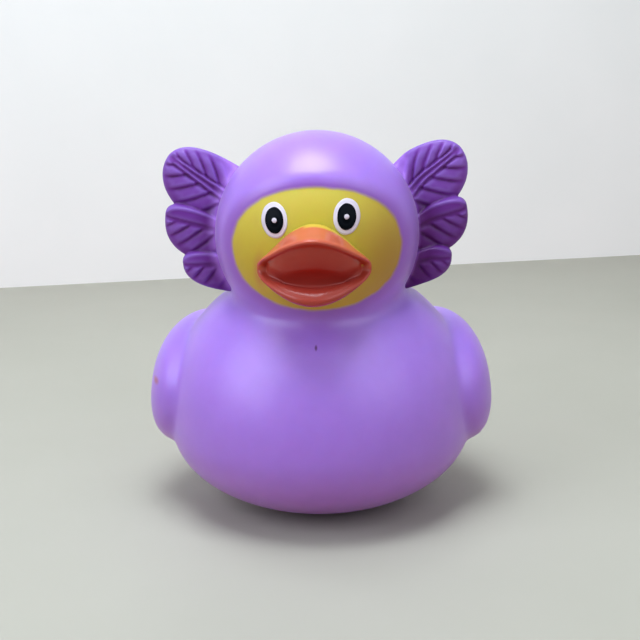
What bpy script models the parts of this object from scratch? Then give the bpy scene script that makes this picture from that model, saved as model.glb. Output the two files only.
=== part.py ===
"""Rubber duck in a frilled hood: one rotocast vinyl shell, hollow, with a vent hole in its flat base.

Metres, +Z up. The duck looks along -Y, and the origin is the middle of its box at the base.
The closed forms of the body, tail, wings and hood are fused and relaxed into one soft skin. The
face window is cut through the hood, the bill and the six frill lobes are joined on, and the
cavity and the vent are cut out last, so that the finished part is a single solid.
"""

import math

import bmesh
import bpy
import numpy as np
from mathutils import Matrix, Vector

# Overall height, and the wall of the casting.
TOTAL_HEIGHT = 0.0842
WALL = 0.0022

# Hood: a sphere that sits a little ahead of the middle of the body.
HEAD_RADIUS = 0.0222
HEAD_FORWARD = 0.0060

# Body: an egg with a different reach in each direction from its widest section.
BODY_HALF_WIDTH = 0.0343
BREAST_REACH = 0.0335
RUMP_REACH = 0.0360
BODY_WIDEST_HEIGHT = 0.0182
BASE_HALF_WIDTH = 0.0125
BODY_TOP_BELOW_HEAD_CENTRE = 0.0080
SHOULDER_FULLNESS = 2.3

# Tail: a tapered sweep from inside the rump to a blunt upturned tip.
TAIL_ROOT_HALF_WIDTH = 0.0320
TAIL_ROOT_HALF_HEIGHT = 0.0200
TAIL_TIP_HALF_WIDTH = 0.0038
TAIL_TIP_HALF_HEIGHT = 0.0025
TAIL_OVERHANG = 0.0065
TAIL_TIP_HEIGHT = 0.0440

# Wings: leaf shaped pads that lean on the flanks, blunt in front, with a raised rear tip.
WING_SPAN = 0.0774
WING_HALF_HEIGHT = 0.0140
WING_HALF_THICKNESS = 0.0085
WING_FRONT = 0.0125
WING_BACK = 0.0300
WING_HEIGHT = 0.0270
WING_TIP_RISE = 0.0085
WING_TIP_TUCK = 0.0075
WING_LEAN = math.radians(8)
WING_SQUARENESS = 2.3

# Face window in the hood, as angles seen from the head's centre.
WINDOW_SIDE = math.radians(57)
WINDOW_TOP = math.radians(33.3)
WINDOW_BOTTOM = math.radians(40.5)
WINDOW_SQUARENESS = 2.15
WINDOW_DEPTH = 0.0010
WINDOW_ROLL = 0.0030

# Bill: two open lips round a dished mouth, with blunt corners on the face.
BILL_HALF_WIDTH = 0.0117
BILL_REACH = 0.0085
BILL_CORNER_DROP = 0.0043
BILL_CORNER_HALF_HEIGHT = 0.0011
UPPER_ROOT_HEIGHT = 0.0083
UPPER_LIP_HEIGHT = 0.0072
LOWER_ROOT_HEIGHT = 0.0068
LOWER_LIP_HEIGHT = 0.0063
LOWER_LIP_SET_BACK = 0.0010
LIP_THICKNESS = 0.0012
LOWER_LIP_THICKNESS = 0.0019
CHEEK_WIDTH = 0.0022
ROOT_PEAK = 3.0
LIP_PEAK = 2.4
MOUTH_HALF_WIDTH = 0.0062
MOUTH_FOLD_DROP = 0.0024
MOUTH_DEPTH = 0.0058

# Printed eyes: three fields of paint, each a little proud of the one below.
EYE_SPACING = 0.01445
EYE_ABOVE_CENTRE = 0.0057
EYE_PRINT_SHIFT = -0.0006
EYE_WHITE = (0.0027, 0.00365)
EYE_BLACK = (0.0019, 0.0027)
EYE_GLINT = (0.0006, 0.0006)
PAINT_STEP = 0.00012

# Frills: three overlapping leaves on each side, given by how far they reach past the hood.
FRILL_REACH = 0.0112
FRILL_HALF_THICKNESS = 0.0017
FRILL_STEP = 0.0009
FRILL_BEHIND_HEAD_CENTRE = 0.0020
VEIN_DEPTH = 0.0006

# Vent hole, through the base on the origin's axis.
VENT_RADIUS = 0.0020

# How finely the soft skin is fused, how far its creases relax, and how many triangles it keeps.
FUSE_VOXEL = 0.0007
RELAX_STEPS = 14
SKIN_KEEP = 0.037
SEAM_SNAP = 0.0001
WELD = 0.000001

HEAD_HEIGHT = TOTAL_HEIGHT - HEAD_RADIUS
HEAD_CENTRE = Vector((0, -HEAD_FORWARD, HEAD_HEIGHT))
BODY_TOP = HEAD_HEIGHT - BODY_TOP_BELOW_HEAD_CENTRE


def vinyl(name, colour, roughness):
    """Soft vinyl or the paint on it: a colour and a roughness, never metallic."""
    material = bpy.data.materials.new(name)
    material.use_nodes = True
    shader = material.node_tree.nodes["Principled BSDF"]
    shader.inputs["Base Color"].default_value = (*colour, 1)
    shader.inputs["Roughness"].default_value = roughness
    shader.inputs["Metallic"].default_value = 0
    material.diffuse_color = (*colour, 1)
    return material


def add_object(name, mesh, material):
    """An object of this mesh in the scene, with one material."""
    made = bpy.data.objects.new(name, mesh)
    made.data.materials.append(material)
    bpy.context.scene.collection.objects.link(made)
    return made


def cap_with_fan(mesh, ring):
    """Closes a ring with triangles to a point in its middle."""
    middle = mesh.verts.new(sum((vert.co for vert in ring), Vector()) / len(ring))
    for vert, following in zip(ring, ring[1:] + ring[:1]):
        mesh.faces.new((vert, following, middle))


def cap_with_strip(mesh, ring):
    """Closes a flat, symmetrical ring with quads from its upper half down to its lower half."""
    last = len(ring) - 1
    for i in range(len(ring) // 2 - 1):
        mesh.faces.new((ring[i], ring[i + 1], ring[last - i - 1], ring[last - i]))


def closed_loft(name, loops, material, cap=cap_with_fan):
    """Skins a run of closed loops that hold the same number of points, and caps both ends."""
    mesh = bmesh.new()
    rings = [[mesh.verts.new(point) for point in loop] for loop in loops]
    count = len(rings[0])
    for ring, following in zip(rings, rings[1:]):
        for i in range(count):
            j = (i + 1) % count
            mesh.faces.new((ring[i], ring[j], following[j], following[i]))
    cap(mesh, rings[0])
    cap(mesh, rings[-1])
    bmesh.ops.recalc_face_normals(mesh, faces=mesh.faces)
    data = bpy.data.meshes.new(name)
    mesh.to_mesh(data)
    mesh.free()
    return add_object(name, data, material)


def egg(name, centre, half_width, reaches, material, segments=64, fullness=2):
    """A ball with its own reach to the front, back, top and bottom of its widest section.

    fullness above 2 squares the upper half, at its sides and behind.
    """
    front, back, top, bottom = reaches
    mesh = bmesh.new()
    bmesh.ops.create_uvsphere(mesh, u_segments=segments, v_segments=segments // 2, radius=1)
    for vert in mesh.verts:
        x, y, z = vert.co
        round_reach = math.hypot(x, y)
        if 0 < z < 1 and round_reach > 0:
            swell = (1 - z**fullness) ** (1 / fullness) / round_reach
            x, y = x * swell, y * (swell if y > 0 else 1)
        vert.co = (
            centre[0] + x * half_width,
            centre[1] + y * (front if y < 0 else back),
            centre[2] + z * (top if z > 0 else bottom),
        )
    data = bpy.data.meshes.new(name)
    mesh.to_mesh(data)
    mesh.free()
    return add_object(name, data, material)


def ball(name, centre, radius, material, segments=64):
    """A sphere."""
    return egg(name, centre, radius, (radius,) * 4, material, segments)


def ellipse(centre, across, up, half_width, half_height, count=32, squareness=2):
    """Points round an oval that lies in the plane of two unit directions."""
    points = []
    for i in range(count):
        turn = 2 * math.pi * i / count
        x, y = math.cos(turn), math.sin(turn)
        scale = (abs(x) ** squareness + abs(y) ** squareness) ** (-1 / squareness)
        points.append(centre + across * (half_width * x * scale) + up * (half_height * y * scale))
    return points


def bezier(points, share):
    """The point at this share of a Bezier curve of any order."""
    points = [Vector(point) for point in points]
    while len(points) > 1:
        points = [a.lerp(b, share) for a, b in zip(points, points[1:])]
    return points[0]


def keep_modifiers(piece):
    """Makes what the object's modifiers show its own mesh."""
    graph = bpy.context.evaluated_depsgraph_get()
    shown = bpy.data.meshes.new_from_object(piece.evaluated_get(graph))
    piece.modifiers.clear()
    piece.data = shown


def boolean(piece, other, operation):
    """Joins or cuts a piece with another, which is then removed."""
    step = piece.modifiers.new(operation.lower(), "BOOLEAN")
    step.object = other
    step.operation = operation
    step.solver = "EXACT"
    step.material_mode = "TRANSFER"
    keep_modifiers(piece)
    bpy.data.objects.remove(other)
    mesh = bmesh.new()
    mesh.from_mesh(piece.data)
    bmesh.ops.remove_doubles(mesh, verts=mesh.verts, dist=WELD)
    bmesh.ops.dissolve_degenerate(mesh, edges=mesh.edges, dist=WELD)
    mesh.to_mesh(piece.data)
    mesh.free()


def lower_reach(half_width, base_half_width, height):
    """How far the egg must reach below its widest section for a flat base of this half width."""
    return height / math.sqrt(1 - (base_half_width / half_width) ** 2)


def body(inset, material, segments=64):
    """The egg of the body, or of the cavity in it when it is drawn in by the wall."""
    belly = lower_reach(BODY_HALF_WIDTH, BASE_HALF_WIDTH, BODY_WIDEST_HEIGHT)
    reaches = (BREAST_REACH, RUMP_REACH, BODY_TOP - BODY_WIDEST_HEIGHT, belly)
    return egg(
        "body",
        (0, 0, BODY_WIDEST_HEIGHT),
        BODY_HALF_WIDTH - inset,
        [reach - inset for reach in reaches],
        material,
        segments,
        SHOULDER_FULLNESS,
    )


def tail(material):
    """Ellipses swept back and up from inside the rump to a rounded tip."""
    tip_back = RUMP_REACH + TAIL_OVERHANG - TAIL_TIP_HALF_HEIGHT
    tip = Vector((0, tip_back, TAIL_TIP_HEIGHT))
    path = [
        (0, 0, BODY_WIDEST_HEIGHT + TAIL_ROOT_HALF_HEIGHT / 2),
        (0, RUMP_REACH * 0.9, BODY_WIDEST_HEIGHT + TAIL_ROOT_HALF_HEIGHT / 4),
        tip,
    ]
    side = Vector((1, 0, 0))
    loops = []
    steps = 24
    for i in range(steps + 1):
        share = i / steps
        ahead = (bezier(path, share + 0.01) - bezier(path, share - 0.01)).normalized()
        up = side.cross(ahead)
        half_width = TAIL_TIP_HALF_WIDTH
        half_width += (TAIL_ROOT_HALF_WIDTH - TAIL_TIP_HALF_WIDTH) * (1 - share)
        half_height = TAIL_TIP_HALF_HEIGHT
        half_height += (TAIL_ROOT_HALF_HEIGHT - TAIL_TIP_HALF_HEIGHT) * (1 - share) ** 1.25
        loops.append(ellipse(bezier(path, share), side, up, half_width, half_height))
    for turn in (30, 60, 80):
        rise = math.radians(turn)
        here = tip + ahead * (TAIL_TIP_HALF_HEIGHT * math.sin(rise))
        shrink = math.cos(rise)
        loops.append(
            ellipse(here, side, up, TAIL_TIP_HALF_WIDTH * shrink, TAIL_TIP_HALF_HEIGHT * shrink)
        )
    return closed_loft("tail", loops, material)


def wing(side, material):
    """Leaf sections along the flank: blunt in front and drawn out to the raised tip behind."""
    loops = []
    steps = 36
    fullest = 0.40
    blunt, drawn = 0.5, 0.5 * (1 - fullest) / fullest
    peak = fullest**blunt * (1 - fullest) ** drawn
    middle = WING_SPAN / 2 - WING_HALF_THICKNESS
    across = Vector((side * math.cos(WING_LEAN), 0, math.sin(WING_LEAN)))
    up = Vector((-side * math.sin(WING_LEAN), 0, math.cos(WING_LEAN)))
    for i in range(1, steps):
        share = 0.5 - 0.5 * math.cos(math.pi * i / steps)
        fullness = share**blunt * (1 - share) ** drawn / peak
        rise = WING_TIP_RISE * (share**2 - fullest**2)
        tuck = WING_TIP_TUCK * (share**2 - fullest**2)
        here = Vector(
            (side * (middle - tuck), -WING_FRONT + share * (WING_FRONT + WING_BACK), WING_HEIGHT + rise)
        )
        loops.append(
            ellipse(
                here,
                across,
                up,
                WING_HALF_THICKNESS * fullness,
                WING_HALF_HEIGHT * fullness,
                squareness=WING_SQUARENESS,
            )
        )
    return closed_loft("wing", loops, material)


def fuse(pieces, name):
    """One soft skin from overlapping closed forms, the same on both sides of the duck."""
    for piece in pieces:
        piece.select_set(True)
    bpy.context.view_layer.objects.active = pieces[0]
    bpy.ops.object.join()
    skin = bpy.context.view_layer.objects.active
    skin.name = name
    remesh = skin.modifiers.new("fuse", "REMESH")
    remesh.mode = "VOXEL"
    remesh.voxel_size = FUSE_VOXEL
    relax = skin.modifiers.new("relax", "SMOOTH")
    relax.factor = 0.5
    relax.iterations = RELAX_STEPS
    keep_modifiers(skin)
    return skin


def window_gauge(direction):
    """Where a direction from the head's centre meets the window: under 1 inside, 1 on its edge."""
    side = math.atan2(direction[0], -direction[1])
    rise = math.asin(max(-1, min(1, direction[2])))
    middle = (WINDOW_TOP - WINDOW_BOTTOM) / 2
    half = (WINDOW_TOP + WINDOW_BOTTOM) / 2
    power = WINDOW_SQUARENESS
    total = abs(side / WINDOW_SIDE) ** power + abs((rise - middle) / half) ** power
    return total ** (1 / power)


def roll_window_edge(skin):
    """Rolls the hood's surface in towards the face round the window."""
    reach = WINDOW_ROLL / (HEAD_RADIUS * (WINDOW_TOP + WINDOW_BOTTOM) / 2)
    for vert in skin.data.vertices:
        away = vert.co - HEAD_CENTRE
        if away.length > HEAD_RADIUS * 1.05 or away.y > 0:
            continue
        gauge = window_gauge(away.normalized())
        inward = max(0, min(1, 1 - (gauge - 1) / reach))
        vert.co = vert.co - away.normalized() * (WINDOW_DEPTH * inward**2 * 0.8)


def trim_to_plane(mesh, axis):
    """Keeps the side of a skin where this coordinate is positive, with its rim exactly at zero."""
    away = [0, 0, 0]
    away[axis] = -1
    geometry = mesh.verts[:] + mesh.edges[:] + mesh.faces[:]
    bmesh.ops.bisect_plane(
        mesh, geom=geometry, dist=SEAM_SNAP, plane_co=(0, 0, 0), plane_no=away, clear_outer=True
    )
    for vert in mesh.verts:
        if abs(vert.co[axis]) <= SEAM_SNAP:
            vert.co[axis] = 0
    flat = [face for face in mesh.faces if all(vert.co[axis] == 0 for vert in face.verts)]
    bmesh.ops.delete(mesh, geom=flat, context="FACES")


def halve_and_thin(skin):
    """Cuts the skin flat at the base and down the middle, thins one half and mirrors it."""
    mesh = bmesh.new()
    mesh.from_mesh(skin.data)
    trim_to_plane(mesh, 0)
    trim_to_plane(mesh, 2)
    mesh.to_mesh(skin.data)
    mesh.free()
    thin = skin.modifiers.new("thin", "DECIMATE")
    thin.ratio = SKIN_KEEP
    keep_modifiers(skin)
    for vert in skin.data.vertices:
        for axis in (0, 2):
            if abs(vert.co[axis]) <= SEAM_SNAP:
                vert.co[axis] = 0
    mirror = skin.modifiers.new("mirror", "MIRROR")
    mirror.merge_threshold = WELD
    keep_modifiers(skin)


def close_base(skin):
    """Fills the open rim that the flat base leaves."""
    mesh = bmesh.new()
    mesh.from_mesh(skin.data)
    rim = [edge for edge in mesh.edges if edge.is_boundary]
    bmesh.ops.contextual_create(mesh, geom=rim)
    bmesh.ops.recalc_face_normals(mesh, faces=mesh.faces)
    mesh.to_mesh(skin.data)
    mesh.free()


def flat_bottom(form, height):
    """Cuts a closed form off flat at this height and closes it again."""
    mesh = bmesh.new()
    mesh.from_mesh(form.data)
    geometry = mesh.verts[:] + mesh.edges[:] + mesh.faces[:]
    bmesh.ops.bisect_plane(
        mesh, geom=geometry, plane_co=(0, 0, height), plane_no=(0, 0, -1), clear_outer=True
    )
    mesh.to_mesh(form.data)
    mesh.free()
    close_base(form)


def window_outline(count=64):
    """Directions from the head's centre to points round the window's edge."""
    middle = (WINDOW_TOP - WINDOW_BOTTOM) / 2
    half = (WINDOW_TOP + WINDOW_BOTTOM) / 2
    power = 2 / WINDOW_SQUARENESS
    directions = []
    for i in range(count):
        turn = 2 * math.pi * i / count
        side = WINDOW_SIDE * math.copysign(abs(math.cos(turn)) ** power, math.cos(turn))
        rise = middle + half * math.copysign(abs(math.sin(turn)) ** power, math.sin(turn))
        directions.append(
            Vector(
                (math.sin(side) * math.cos(rise), -math.cos(side) * math.cos(rise), math.sin(rise))
            )
        )
    return directions


def window_cutter(material):
    """A flared plug through the window, from inside the face to clear of the hood."""
    near = HEAD_RADIUS - 4 * WINDOW_DEPTH
    far = HEAD_RADIUS * 1.4
    loops = [[HEAD_CENTRE + aim * reach for aim in window_outline()] for reach in (near, far)]
    return closed_loft("window", loops, material)


def face_depth(across, above):
    """The Y of the face's surface at this distance across and above the head's centre."""
    radius = HEAD_RADIUS - WINDOW_DEPTH
    return -HEAD_FORWARD - math.sqrt(radius**2 - across**2 - above**2)


def bill_loop(half_width, top, bottom, corner, upper, lower, peak=1.25, drop=0, count=44):
    """A closed outline of the bill: top and bottom are its heights about its corners.

    corner, upper and lower are the Y of the corners and of the middles of both lips, peak is how
    sharply the outline rises and falls to its middle, and drop lowers the whole loop. The corners
    are blunt and round, up to a third of the loop's own height.
    """
    points = []
    for i in range(count):
        turn = 2 * math.pi * (i + 0.5) / count
        across, up = math.cos(turn), math.sin(turn)
        reach, middle = (top, upper) if up > 0 else (-bottom, lower)
        blunt = math.copysign(min(BILL_CORNER_HALF_HEIGHT, abs(reach) / 3), reach)
        blunt *= min(1, abs(up) / 0.4) ** 0.5
        height = blunt + (reach - blunt) * abs(up) ** peak
        depth = corner + (middle - corner) * abs(up)
        points.append(
            Vector((half_width * across, depth, HEAD_HEIGHT - BILL_CORNER_DROP - drop + height))
        )
    return points


def bill(material):
    """Loops from inside the head, out over both lips and back down into the dish of the mouth."""
    wide, lip, mouth = BILL_HALF_WIDTH, LIP_THICKNESS, MOUTH_HALF_WIDTH
    corner = face_depth(wide, BILL_CORNER_DROP)
    root = face_depth(0, 0)
    upper = root - BILL_REACH
    lower = upper + LOWER_LIP_SET_BACK
    lip_corner = corner - 2 * lip
    fold = upper + MOUTH_DEPTH
    fold_corner = (lip_corner + fold) / 2
    inside = root + wide / 2
    top, bottom = UPPER_LIP_HEIGHT, LOWER_LIP_HEIGHT
    root_top, root_bottom = UPPER_ROOT_HEIGHT, LOWER_ROOT_HEIGHT

    def rim(share, back):
        """A loop round both lips: share is how far it has come from their outside to the mouth."""
        return bill_loop(
            wide - CHEEK_WIDTH * share,
            top - lip * share,
            bottom - LOWER_LIP_THICKNESS * share,
            lip_corner + back / 4,
            upper + back,
            lower + back,
            LIP_PEAK,
        )

    def dish(share):
        """A loop inside the mouth, this share of the way from the lips to the fold."""
        narrow = 1 - share**2
        return bill_loop(
            mouth + (wide - CHEEK_WIDTH - mouth) * narrow,
            (top - lip) * narrow + lip / 4,
            (bottom - LOWER_LIP_THICKNESS) * narrow + lip / 4,
            lip_corner + (fold_corner - lip_corner) * share,
            upper + (fold - upper) * share,
            lower + (fold - lower) * share,
            LIP_PEAK,
            MOUTH_FOLD_DROP * share,
        )

    loops = [
        bill_loop(wide * 0.6, root_top * 0.5, root_bottom * 0.5, inside, inside, inside),
        bill_loop(wide * 0.97, root_top, root_bottom, corner + lip, root + lip, root + lip, ROOT_PEAK),
        bill_loop(wide, root_top * 0.97, root_bottom, corner, root, root, ROOT_PEAK),
        rim(-0.2, 2 * lip),
        rim(0, lip / 2),
        rim(0.35, 0),
        rim(1, lip / 3),
        dish(0.45),
        dish(0.75),
        dish(0.95),
    ]
    return closed_loft("bill", loops, material, cap_with_strip)


def eye_field(side, sizes, layer, count, material):
    """One field of eye paint: a thin slice of a slightly larger face under an oval."""
    middle = Vector((side * EYE_SPACING / 2 + EYE_PRINT_SHIFT, 0, HEAD_HEIGHT + EYE_ABOVE_CENTRE))
    oval = []
    for depth in (-HEAD_FORWARD - HEAD_RADIUS * 1.3, -HEAD_FORWARD - HEAD_RADIUS * 0.6):
        centre = Vector((middle.x, depth, middle.z))
        oval.append(ellipse(centre, Vector((1, 0, 0)), Vector((0, 0, 1)), *sizes, count))
    field = closed_loft("eye", oval, material)
    layer_radius = HEAD_RADIUS - WINDOW_DEPTH + layer * PAINT_STEP
    boolean(field, ball("layer", HEAD_CENTRE, layer_radius, material, 64), "INTERSECT")
    return field


LOBES = (
    # rib, upper edge and lower edge, each from the root inside the hood to the shared tip,
    # as shares of the frill's outer radius: across from the head's centre, and up.
    {
        "rib": ((0.36, 0.09), (0.66, 0.29), (0.964, 0.515)),
        "upper": ((0.36, 0.344), (0.629, 0.554), (0.853, 0.629), (0.964, 0.515)),
        "lower": ((0.36, -0.06), (0.93, 0.0), (1.11, 0.33), (0.964, 0.515)),
        "veins": 6,
        "layer": 1,
    },
    {
        "rib": ((0.36, -0.06), (0.70, 0.06), (1.0, 0.126)),
        "upper": ((0.36, -0.045), (0.62, 0.10), (0.99, 0.31), (1.0, 0.126)),
        "lower": ((0.36, -0.21), (0.92, -0.25), (1.03, -0.06), (1.0, 0.126)),
        "veins": 5,
        "layer": 0,
    },
    {
        "rib": ((0.36, -0.22), (0.70, -0.17), (0.892, -0.195)),
        "upper": ((0.36, -0.195), (0.60, -0.12), (0.92, -0.05), (0.892, -0.195)),
        "lower": ((0.36, -0.405), (0.72, -0.39), (0.892, -0.33), (0.892, -0.195)),
        "veins": 4,
        "layer": -1,
    },
)


def lobe(side, shape, material):
    """One leaf: a grid from its rib out to both edges, with veins pressed into both faces."""
    reach = HEAD_RADIUS + FRILL_REACH
    depth = FRILL_BEHIND_HEAD_CENTRE - HEAD_FORWARD + shape["layer"] * FRILL_STEP
    veins = shape["veins"]
    shares = [0.0]
    for k in range(1, veins):
        middle = k / veins
        shares += [middle - 0.035, middle, middle + 0.035]
    shares += [0.93, 0.975]
    outs = (0, 0.14, 0.22, 0.55, 0.80, 0.93, 1)

    def relief(k_share, out):
        """Half the leaf's thickness at a share of its rib and of the way out to its edge."""
        near_vein = min(abs(k_share - k / veins) for k in range(1, veins))
        groove = max(0, 1 - near_vein / 0.035) if 0.2 < out < 0.97 else 0
        beside_rib = 1 if out == 0.22 else 0
        rounding = math.sqrt(max(0, 1 - max(0, (out - 0.8) / 0.2) ** 2))
        return FRILL_HALF_THICKNESS * rounding - VEIN_DEPTH * max(groove, beside_rib) * rounding

    mesh = bmesh.new()
    faces = {}
    for face in (-1, 1):
        for i, share in enumerate(shares):
            rib = bezier(shape["rib"], share) * reach
            for edge_name, sign in (("upper", 1), ("lower", -1)):
                edge = bezier(shape[edge_name], share) * reach
                for j, out in enumerate(outs):
                    if j == 0 and sign < 0:
                        continue
                    flat = rib.lerp(edge, out)
                    thick = relief(share, out)
                    key = (face if out < 1 else 0, i, sign * j)
                    if key not in faces:
                        faces[key] = mesh.verts.new(
                            (side * flat.x, depth + face * thick, HEAD_HEIGHT + flat.y)
                        )
    tip_flat = bezier(shape["rib"], 1) * reach
    tip_vert = mesh.verts.new((side * tip_flat.x, depth, HEAD_HEIGHT + tip_flat.y))
    last = len(outs) - 1

    def at(face, i, j):
        return faces[(face if abs(j) < last else 0, i, j)]

    for face in (-1, 1):
        for i in range(len(shares) - 1):
            for j in range(-last, last):
                quad = (at(face, i, j), at(face, i + 1, j), at(face, i + 1, j + 1), at(face, i, j + 1))
                mesh.faces.new(quad)
        i = len(shares) - 1
        for j in range(-last, last):
            mesh.faces.new((at(face, i, j), tip_vert, at(face, i, j + 1)))
    root = [at(-1, 0, j) for j in range(-last, last + 1)]
    root += [at(1, 0, j) for j in range(last - 1, -last, -1)]
    mesh.faces.new(root)
    bmesh.ops.recalc_face_normals(mesh, faces=mesh.faces)
    data = bpy.data.meshes.new("lobe")
    mesh.to_mesh(data)
    mesh.free()
    return add_object("lobe", data, material)


def centre_on_origin(duck):
    """Moves the mesh so that the middle of its box is over the origin and its base is at zero."""
    corners = np.array([vert.co for vert in duck.data.vertices])
    low, high = corners.min(axis=0), corners.max(axis=0)
    middle = (low + high) / 2
    duck.data.transform(Matrix.Translation((-middle[0], -middle[1], -low[2])))


def duck():
    """The whole casting, as one object."""
    skin_vinyl = vinyl("hood_and_body_vinyl", (0.42, 0.20, 0.82), 0.55)
    face_paint = vinyl("face_paint", (0.60, 0.48, 0.03), 0.5)
    bill_paint = vinyl("bill_paint", (0.52, 0.07, 0.035), 0.3)
    frill_paint = vinyl("frill_paint", (0.16, 0.045, 0.25), 0.45)
    white_paint = vinyl("eye_white_paint", (0.8, 0.8, 0.8), 0.35)
    black_paint = vinyl("eye_black_paint", (0.01, 0.01, 0.012), 0.3)

    hood = ball("hood", HEAD_CENTRE, HEAD_RADIUS, skin_vinyl)
    forms = [body(0, skin_vinyl), tail(skin_vinyl), hood]
    forms += [wing(side, skin_vinyl) for side in (-1, 1)]
    skin = fuse(forms, "duck")
    for paint in (face_paint, bill_paint, frill_paint, white_paint, black_paint):
        skin.data.materials.append(paint)
    roll_window_edge(skin)
    halve_and_thin(skin)
    close_base(skin)

    boolean(skin, window_cutter(skin_vinyl), "DIFFERENCE")
    face = ball("face", HEAD_CENTRE, HEAD_RADIUS - WINDOW_DEPTH, face_paint, 56)
    boolean(skin, face, "UNION")
    boolean(skin, bill(bill_paint), "UNION")
    for side in (-1, 1):
        boolean(skin, eye_field(side, EYE_WHITE, 1, 20, white_paint), "UNION")
        boolean(skin, eye_field(side, EYE_BLACK, 2, 16, black_paint), "UNION")
        boolean(skin, eye_field(side, EYE_GLINT, 3, 8, white_paint), "UNION")
        for shape in LOBES:
            boolean(skin, lobe(side, shape, frill_paint), "UNION")

    cavity = body(WALL, skin_vinyl, 32)
    flat_bottom(cavity, WALL)
    inner = HEAD_RADIUS - WINDOW_DEPTH - WALL
    boolean(cavity, ball("inner_head", HEAD_CENTRE, inner, skin_vinyl, 28), "UNION")
    boolean(skin, cavity, "DIFFERENCE")
    across, along = Vector((1, 0, 0)), Vector((0, 1, 0))
    vent = [
        ellipse(Vector((0, 0, height)), across, along, VENT_RADIUS, VENT_RADIUS, 24)
        for height in (-WALL, 2 * WALL)
    ]
    boolean(skin, closed_loft("vent", vent, skin_vinyl), "DIFFERENCE")
    centre_on_origin(skin)
    skin.data.shade_smooth()
    skin.data.set_sharp_from_angle(angle=math.radians(40))
    return skin


for leftover in list(bpy.data.objects):
    bpy.data.objects.remove(leftover)
duck()
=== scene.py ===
import math

import bmesh
import bpy
import numpy as np
from mathutils import Matrix, Vector


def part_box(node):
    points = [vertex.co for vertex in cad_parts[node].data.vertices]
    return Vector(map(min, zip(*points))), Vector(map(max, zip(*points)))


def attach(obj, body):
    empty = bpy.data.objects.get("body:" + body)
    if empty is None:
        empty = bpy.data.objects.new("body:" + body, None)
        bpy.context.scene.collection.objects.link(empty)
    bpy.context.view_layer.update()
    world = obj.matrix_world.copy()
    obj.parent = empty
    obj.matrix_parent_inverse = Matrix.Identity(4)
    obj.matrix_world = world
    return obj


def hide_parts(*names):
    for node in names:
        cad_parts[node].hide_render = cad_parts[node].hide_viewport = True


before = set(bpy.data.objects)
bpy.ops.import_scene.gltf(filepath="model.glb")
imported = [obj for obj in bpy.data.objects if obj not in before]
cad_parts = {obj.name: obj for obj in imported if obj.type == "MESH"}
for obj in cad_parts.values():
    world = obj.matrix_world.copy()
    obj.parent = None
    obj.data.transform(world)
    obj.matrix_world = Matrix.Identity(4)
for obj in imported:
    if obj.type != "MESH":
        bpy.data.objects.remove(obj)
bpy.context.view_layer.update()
duck_low, duck_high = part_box("duck")


# Camera.
# A phone held a hand's length in front of the duck and a little above it, looking down by
# about an eighth of a right angle. The lens and the distance are those at which the photo's
# outline and this model's outline fall on each other.

CAMERA_AZIMUTH = math.radians(2.0)
CAMERA_ELEVATION = math.radians(12.5)
CAMERA_ROLL = math.radians(-0.9)
CAMERA_DISTANCE = 0.240
SENSOR_WIDTH = 36.0
FOCAL_IN_PICTURE_WIDTHS = 1039 / 640
BILL_FRONT_TO_BODY_AXIS = 0.0357
LOOK_BEHIND_BODY_AXIS = 0.0032
LOOK_AT_HEIGHT = 0.04055
NEAREST_SEEN = 0.01

body_axis_y = duck_low[1] + BILL_FRONT_TO_BODY_AXIS


def aim_camera():
    """A camera turned and rolled about the point on the body's axis that it looks at."""
    towards_camera = Vector(
        (
            math.sin(CAMERA_AZIMUTH) * math.cos(CAMERA_ELEVATION),
            -math.cos(CAMERA_AZIMUTH) * math.cos(CAMERA_ELEVATION),
            math.sin(CAMERA_ELEVATION),
        )
    )
    level = (-towards_camera).cross(Vector((0, 0, 1))).normalized()
    upright = level.cross(-towards_camera)
    across = level * math.cos(CAMERA_ROLL) + upright * math.sin(CAMERA_ROLL)
    up = upright * math.cos(CAMERA_ROLL) - level * math.sin(CAMERA_ROLL)
    camera = bpy.data.objects.new("camera", bpy.data.cameras.new("camera"))
    bpy.context.scene.collection.objects.link(camera)
    camera.data.sensor_width = SENSOR_WIDTH
    camera.data.lens = FOCAL_IN_PICTURE_WIDTHS * SENSOR_WIDTH
    camera.data.clip_start = NEAREST_SEEN
    placing = Matrix((across, up, towards_camera)).transposed().to_4x4()
    target = Vector((0, body_axis_y + LOOK_BEHIND_BODY_AXIS, LOOK_AT_HEIGHT))
    placing.translation = target + towards_camera * CAMERA_DISTANCE
    camera.matrix_world = placing
    bpy.context.scene.camera = camera


aim_camera()


# Skin.
# The body, wings, tail, hood and recessed face are one rotocast vinyl shell, so they are one
# soft skin here too. The closed forms are fused on a fine grid, their creases are relaxed as
# a mould maker would ease them, and the face is sunk into the hood with a rolled rim.

WALL = 0.0022
HEAD_RADIUS = 0.0222
HEAD_BEFORE_BODY_AXIS = 0.0060
HEAD_CENTRE = Vector((0, body_axis_y - HEAD_BEFORE_BODY_AXIS, duck_high[2] - HEAD_RADIUS))
# Multiples of the head's radius between which a point belongs to the head's skin.
HEAD_SKIN = (0.95, 1.06)
BESIDE_FRILL_SKIN = 1.08

BODY_HALF_WIDTH = 0.0343
BREAST_REACH = 0.0335
RUMP_REACH = 0.0360
BODY_WIDEST_HEIGHT = 0.0182
BASE_HALF_WIDTH = 0.0125
BODY_TOP_BELOW_HEAD_CENTRE = 0.0080
SHOULDER_FULLNESS = 2.3

TAIL_ROOT_HALF_WIDTH = 0.0320
TAIL_ROOT_HALF_HEIGHT = 0.0200
TAIL_TIP_HALF_WIDTH = 0.0038
TAIL_TIP_HALF_HEIGHT = 0.0025
TAIL_OVERHANG = 0.0065
TAIL_TIP_HEIGHT = 0.0440
TAIL_TAPER = 1.25
TAIL_TIP_ANGLES = (0.3, 0.6, 0.9, 1.2, 1.45)

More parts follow.
